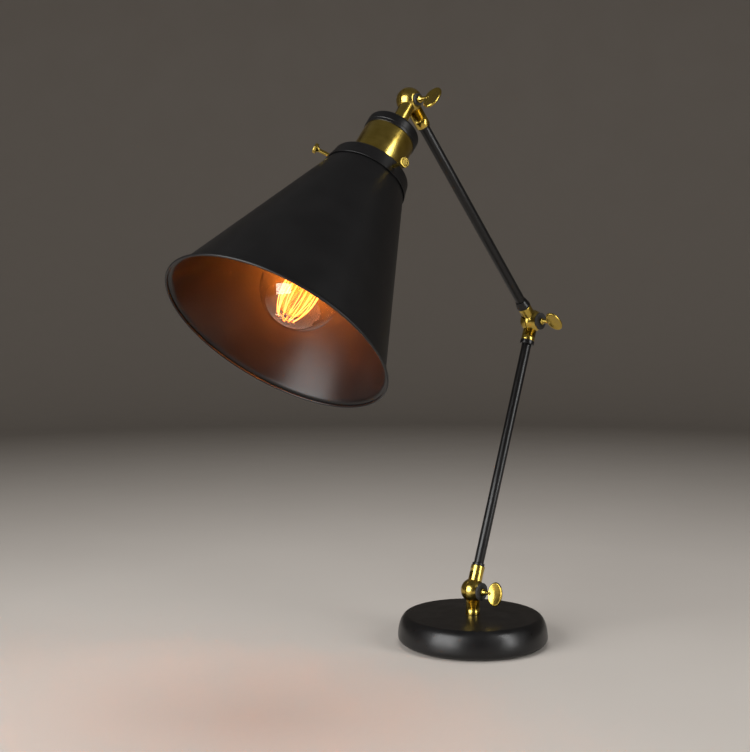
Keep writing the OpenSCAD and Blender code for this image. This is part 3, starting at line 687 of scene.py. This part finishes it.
arm_tube("lower_tube", LOWER, FOOT_NECK, ELBOW_LOW_NECK, "lower_arm", "lower_arm_tube")
arm_tube("upper_tube", UPPER, ELBOW_HIGH_NECK, TIP_NECK, "upper_arm", "upper_arm_tube")
lock_ring("lower_foot_ferrule", LOWER, 1.2, 1.2, FOOT_NECK, 2.6, "lower_arm", "lower_arm_foot_ring")
lock_ring("lower_top_ferrule", LOWER_TOP, 2.3, 2.3, ELBOW_LOW_NECK, 4.5, "lower_arm", "lower_arm_top_ring")
lock_ring("upper_foot_ferrule", UPPER, 2.2, 0.6, ELBOW_HIGH_NECK, 8.5, "upper_arm", "upper_arm_foot_ring")
lock_ring("upper_top_ferrule", UPPER_TOP, 1.0, 1.0, TIP_NECK, 2, "upper_arm", "upper_arm_top_ring")

# ------------------------------------------------------------------ lampholder

cap_line = (
    [(NIPPLE_R + FIT, HEAD_NECK + 2), (NIPPLE_R + FIT, HEAD_NECK)]
    + arc(CAP_R - 3.5, HEAD_NECK + 3.5, 3.5, 3.5, -90, 0, 14)
    + softened([(CAP_R, CAP_END - 3.2), (CAP_R - 0.25, CAP_END - 2.9), (CAP_R - 0.25, CAP_END - 2.4),
                (CAP_R, CAP_END - 2.1), (CAP_R, CAP_END), (CAP_R - 2, CAP_END)],
               [0.1, 0.1, 0.1, 0.1, 0.45, 0.2], 3, False)
    + [(CAP_R - 2, HEAD_NECK + 2)]
)
piece(lathe("lampholder_cap", cap_line, HEAD, 160), "head", "holder_cap")

spigot = CAP_R - 2 - FIT
shell_line = softened(
    [(spigot - SHELL_WALL, CAP_END - 5), (spigot, CAP_END - 5), (spigot, CAP_END + FIT),
     (SHELL_R, CAP_END + FIT), (SHELL_R, SHELL_END), (SOCKET_R + FIT, SHELL_END),
     (SOCKET_R + FIT, SHELL_END - SHELL_WALL), (SHELL_R - SHELL_WALL, SHELL_END - SHELL_WALL),
     (SHELL_R - SHELL_WALL, CAP_END + FIT + SHELL_WALL), (spigot - SHELL_WALL, CAP_END + FIT + SHELL_WALL)],
    [0.1, 0.1, 0, 0.5, 0.5, 0.1, 0.1, 0.2, 0.2, 0.1], 4)
piece(lathe("lampholder_shell", shell_line, HEAD, 192), "head", "holder_shell",
      material=metal("spun_brass", BRASS_DARK, BRASS_LIGHT, 0.15, 0.26, 0.000006))

# ------------------------------------------------------------------ shade and its holder

CUP_TOP_R = CUP_FOOT_R - 2.7
LIP_S = CUP_TOP + 3.4
cup_line = (
    [(SOCKET_R + FIT, CUP_TOP + CUP_WALL), (SOCKET_R + FIT, CUP_TOP)]
    + arc(CUP_TOP_R - 3, CUP_TOP + 3, 3, 3, -90, 0, 14)
    + softened([(CUP_TOP_R, LIP_S), (CUP_FOOT_R, CUP_TOP + CUP_H), (CUP_FOOT_R - CUP_WALL, CUP_TOP + CUP_H),
                (CUP_FOOT_R - CUP_WALL - 0.05, CUP_TOP + CUP_H - 1)], [0, 0.35, 0.35, 0], 3, False)
    + arc(CUP_TOP_R - 3, CUP_TOP + 3, 3 - CUP_WALL, 3 - CUP_WALL, 0, -90, 10)
)
cup = lathe("shade_holder_cup", cup_line, HEAD, 192)
SCREW_TURNS = {"front": 283, "rear": 43, "arm": 163}   # degrees round the head's axis


def radial(turn):
    """Frame on a shade screw's axis: Z points away from the head's axis."""
    out = Vector((math.cos(math.radians(turn)), math.sin(math.radians(turn)), 0))
    return HEAD @ frame_at(Vector((0, 0, SCREW_S * MM)), out, (0, 0, 1))


for turn in SCREW_TURNS.values():
    drill = lathe("tool", [(0, 25), (SHADE_HOLE_R, 25), (SHADE_HOLE_R, 50), (0, 50)], radial(turn), 32, False)
    combine(cup, drill, "DIFFERENCE")
piece(cup, "head", "shade_holder")

neck_end = CUP_TOP + CUP_H - 5.5
neck_r = cone_r(neck_end) - 1.9
lip_r = neck_r + 1.1
flare_s = RIM_S - RIM_H
flare_out = bezier((cone_r(flare_s), flare_s), (cone_r(flare_s + 3), flare_s + 3),
                   (BEAD_RING_R - 1.1, RIM_S - 2.2), (BEAD_RING_R + 0.1, RIM_S - 2 * BEAD_R), 10)
shade_line = (
    softened([(neck_r - SHADE_WALL, neck_end), (neck_r - SHADE_WALL, LIP_S - SHADE_WALL),
              (lip_r, LIP_S - SHADE_WALL), (lip_r, LIP_S), (neck_r, LIP_S), (neck_r, neck_end),
              (cone_r(neck_end + 1.5), neck_end + 1.5)],
             [0, 0.2, 0.2, 0.2, 0.2, 0.4, 0.4], 3, False)
    + [(cone_r(s), s) for s in np.linspace(neck_end + 4, flare_s - 1, 30)]
    + flare_out
    + arc(BEAD_RING_R, RIM_S - BEAD_R, BEAD_R, BEAD_R, -70, 170, 18)
    + [(r - SHADE_WALL, s) for r, s in flare_out[::-1]]
    + [(cone_r(s) - SHADE_WALL, s) for s in np.linspace(flare_s - 1, neck_end + 4, 30)]
    + [(cone_r(neck_end + 1.5) - SHADE_WALL, neck_end + 1.5)]
)
piece(lathe("shade_cone", shade_line, HEAD, 288), "head", "shade")


def shade_screw(name, turn, body, node):
    """Knurled screw: its Z points outwards."""
    tip = neck_r + 0.2
    head = CUP_FOOT_R + 12.6 - KNOB_T / 2
    top = head + KNOB_T
    line = softened(
        [(0, tip), (SHADE_SCREW_R, tip), (SHADE_SCREW_R, head - 2), (2.95, head), (KNOB_R, head),
         (KNOB_R, top), (KNOB_R - 1.5, top), (KNOB_R - 2.2, top - 0.5), (0, top - 0.35)],
        [0, 0.3, 0.6, 0.3, 0.5, 0.5, 0.2, 0.3, 0], 4, False)
    teeth, depth = 30, 0.02

    def knurl(i, a):
        return 1 - depth * (0.5 - 0.5 * math.cos(teeth * a)) if line[i][0] > KNOB_R - 0.6 else 1

    obj = lathe(name, line, radial(turn), 240, False, knurl, 40)
    piece(obj, body, node)


for key, turn in SCREW_TURNS.items():
    shade_screw(key + "_knurled_screw", turn, key + "_shade_screw", "shade_screw_" + key)

# ------------------------------------------------------------------ bulb


def globe_side(t):
    """The glass from its neck to its tip, t inside its outer face."""
    neck, ball = GLASS_NECK_R - t, GLOBE_R - t
    side = bezier((neck, GLASS_NECK_S), (neck, GLASS_NECK_S + 34), (ball, GLOBE_S - 52), (ball, GLOBE_S), 36)
    return side + arc(0, GLOBE_S, ball, ball, 3, 90, 30)


globe = lathe("bulb_globe", globe_side(0) + globe_side(GLASS_WALL)[::-1], HEAD, 128)
piece(globe, "bulb", "bulb_glass")
globe.visible_shadow = False


def wave(mean, start, n=16):
    """A rolled thread's outline, n steps to a turn."""
    return [(mean - THREAD_DEPTH * math.cos(2 * math.pi * i / n), start + PITCH * i / n)
            for i in range(THREAD_TURNS * n + 1)]


cap_start = CAP_S - 0.5 * PITCH + 1
cap_profile = (
    [(7, cap_start + 0.3), (7, cap_start - 0.4)] + wave(12.65, cap_start)
    + [(GLASS_NECK_R + 0.5, GLASS_NECK_S - 1.6), (GLASS_NECK_R + 0.5, GLASS_NECK_S + 1),
       (GLASS_NECK_R + FIT, GLASS_NECK_S + 1), (GLASS_NECK_R + FIT, GLASS_NECK_S - 0.2),
       (11.5, GLASS_NECK_S - 1.6), (11.5, cap_start + 0.4)]
)
piece(lathe("bulb_screw_cap", cap_profile, HEAD, 96), "bulb", "bulb_cap")

sleeve = wave(12.8, cap_start)
sleeve_line = sleeve + [(r + 0.35, z) for r, z in sleeve[::-1]]
piece(lathe("socket_screw_shell", sleeve_line, HEAD, 96), "head", "screw_shell")

STRANDS = 20
CAGE_TOP, CAGE_FOOT = GLOBE_S - 66, GLOBE_S + 30


def cage_points(per_strand=26):
    """A wire that runs up and down between two rings of hooks, wide in the middle of the globe."""
    profile = bezier((6.5, CAGE_TOP), (12, CAGE_TOP + 40), (24, CAGE_FOOT - 26), (8, CAGE_FOOT),
                     per_strand)
    points = []
    for i in range(STRANDS):
        middle = 2 * math.pi * i / STRANDS
        reach = math.pi / STRANDS * 0.62
        side = profile[:-1] if i % 2 == 0 else profile[:0:-1]
        for k, (r, z) in enumerate(side):
            a = middle + reach * (2 * k / per_strand - 1)
            points.append((r * math.cos(a), r * math.sin(a), z))
    return points


cage = finish_mesh(loop_bm(cage_points(), WIRE_R, 8), "bulb_wire_cage", HEAD, 60)
piece(cage, "bulb", "bulb_filament")

# ------------------------------------------------------------------ carried-over CAD nodes

shown_stand_ins = set()
for obj in SCENE.objects:
    shown_stand_ins.update(obj.get("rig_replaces", []))
for name, obj in NODES.items():
    if name in shown_stand_ins:
        continue
    obj.data.materials.clear()
    obj.data.materials.append(MATERIALS[SLOT[name]])
    smooth(obj.data, 30)

# ------------------------------------------------------------------ floor, light and camera


def studio():
    """Round floor that curves up into a wall, for every camera side, coloured pale near the lamp and darkening
    outwards into warm grey: a painted fall-off of light.
    """
    floor_r, bend_r, wall_top = 2.2, 1.2, 3.2
    line = ([(0, 0), (0.5, 0), (1.2, 0)] + arc(floor_r, bend_r, bend_r, bend_r, -90, 0, 24)
            + [(floor_r + bend_r, wall_top)])
    bm = lathe_bm([(r / MM, z / MM) for r, z in line], 128, False)
    floor = finish_mesh(bm, "studio_floor", WORLD, 60)
    s = Shader("studio_paint")
    far_away = s.node("ShaderNodeVectorMath")
    far_away.operation = "LENGTH"
    s.link(s.coords((1 / floor_r,) * 3), far_away.inputs[0])
    # painted fall-off of light: the colour darkens with distance from the lamp's foot
    painted_falloff = s.add(far_away.outputs["Value"], s.noise(3, 4), 0.03)
    s.color(s.ramp(painted_falloff, [(0.25, (0.50, 0.46, 0.42)), (0.98, (0.20, 0.175, 0.15))]))
    s.rough(s.noise(8, 3), 0.75, 0.9)
    floor.data.materials.append(s.material)
    return floor


floor = studio()


def softbox(name, location, size, power):
    """A white area light that points at the middle of the lamp."""
    light = bpy.data.lights.new(name, "AREA")
    light.shape = "RECTANGLE"
    light.size, light.size_y = size
    light.energy = power
    obj = bpy.data.objects.new(name, light)
    SCENE.collection.objects.link(obj)
    obj.location = location
    obj.rotation_mode = "QUATERNION"
    obj.rotation_quaternion = (MIDDLE - location).to_track_quat("-Z", "Y")
    obj.visible_camera = False
    return obj


HEADING, PITCH_DOWN = math.radians(42.18), math.radians(-3.69)
FORWARD = Vector((math.cos(HEADING) * math.cos(PITCH_DOWN),
                  math.sin(HEADING) * math.cos(PITCH_DOWN), math.sin(PITCH_DOWN)))
RIGHT = FORWARD.cross(Vector((0, 0, 1))).normalized()
MIDDLE = Vector((0, 0, 0.25))


def beside(right, ahead, height):
    """A point given from the lamp's middle as the camera sees it."""
    flat = Vector((FORWARD.x, FORWARD.y, 0)).normalized()
    return Vector((0, 0, height)) + RIGHT * right + flat * ahead


softbox("key_left", beside(-1.3, -1.2, 0.6), (1.3, 1.6), 52)
softbox("key_right", beside(1.45, -1.05, 0.7), (0.5, 1.7), 24)
softbox("top", beside(0.0, 0.1, 2.4), (1.3, 1.3), 20).visible_glossy = False

world = bpy.data.worlds.new("studio_world")
SCENE.world = world
world.use_nodes = True
background = world.node_tree.nodes["Background"]
background.inputs["Color"].default_value = (0.80, 0.78, 0.75, 1)
background.inputs["Strength"].default_value = 0.12

glow = bpy.data.lights.new("bulb_glow", "POINT")
glow.energy = 3.2
glow.color = (1.0, 0.22, 0.02)
glow.shadow_soft_size = 0.014
glow_obj = bpy.data.objects.new("bulb_glow", glow)
SCENE.collection.objects.link(glow_obj)
glow_obj.location = HEAD @ Vector((0, 0, (GLOBE_S - 26) * MM))
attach(glow_obj, "bulb")
# the bulb's own light leaves the floor out
unlit = bpy.data.collections.new("not_lit_by_the_bulb")
unlit.objects.link(floor)
glow_obj.light_linking.receiver_collection = unlit
unlit.collection_objects[0].light_linking.link_state = "EXCLUDE"

camera = bpy.data.cameras.new("camera")
camera.lens = 61.73
camera.sensor_width = 36
camera.clip_start, camera.clip_end = 0.05, 50
camera_obj = bpy.data.objects.new("camera", camera)
SCENE.collection.objects.link(camera_obj)
camera_obj.location = (-1.0120, -0.7846, 0.3505)
camera_obj.rotation_mode = "QUATERNION"
camera_obj.rotation_quaternion = FORWARD.to_track_quat("-Z", "Y")
SCENE.camera = camera_obj
SCENE.view_settings.view_transform = "Standard"
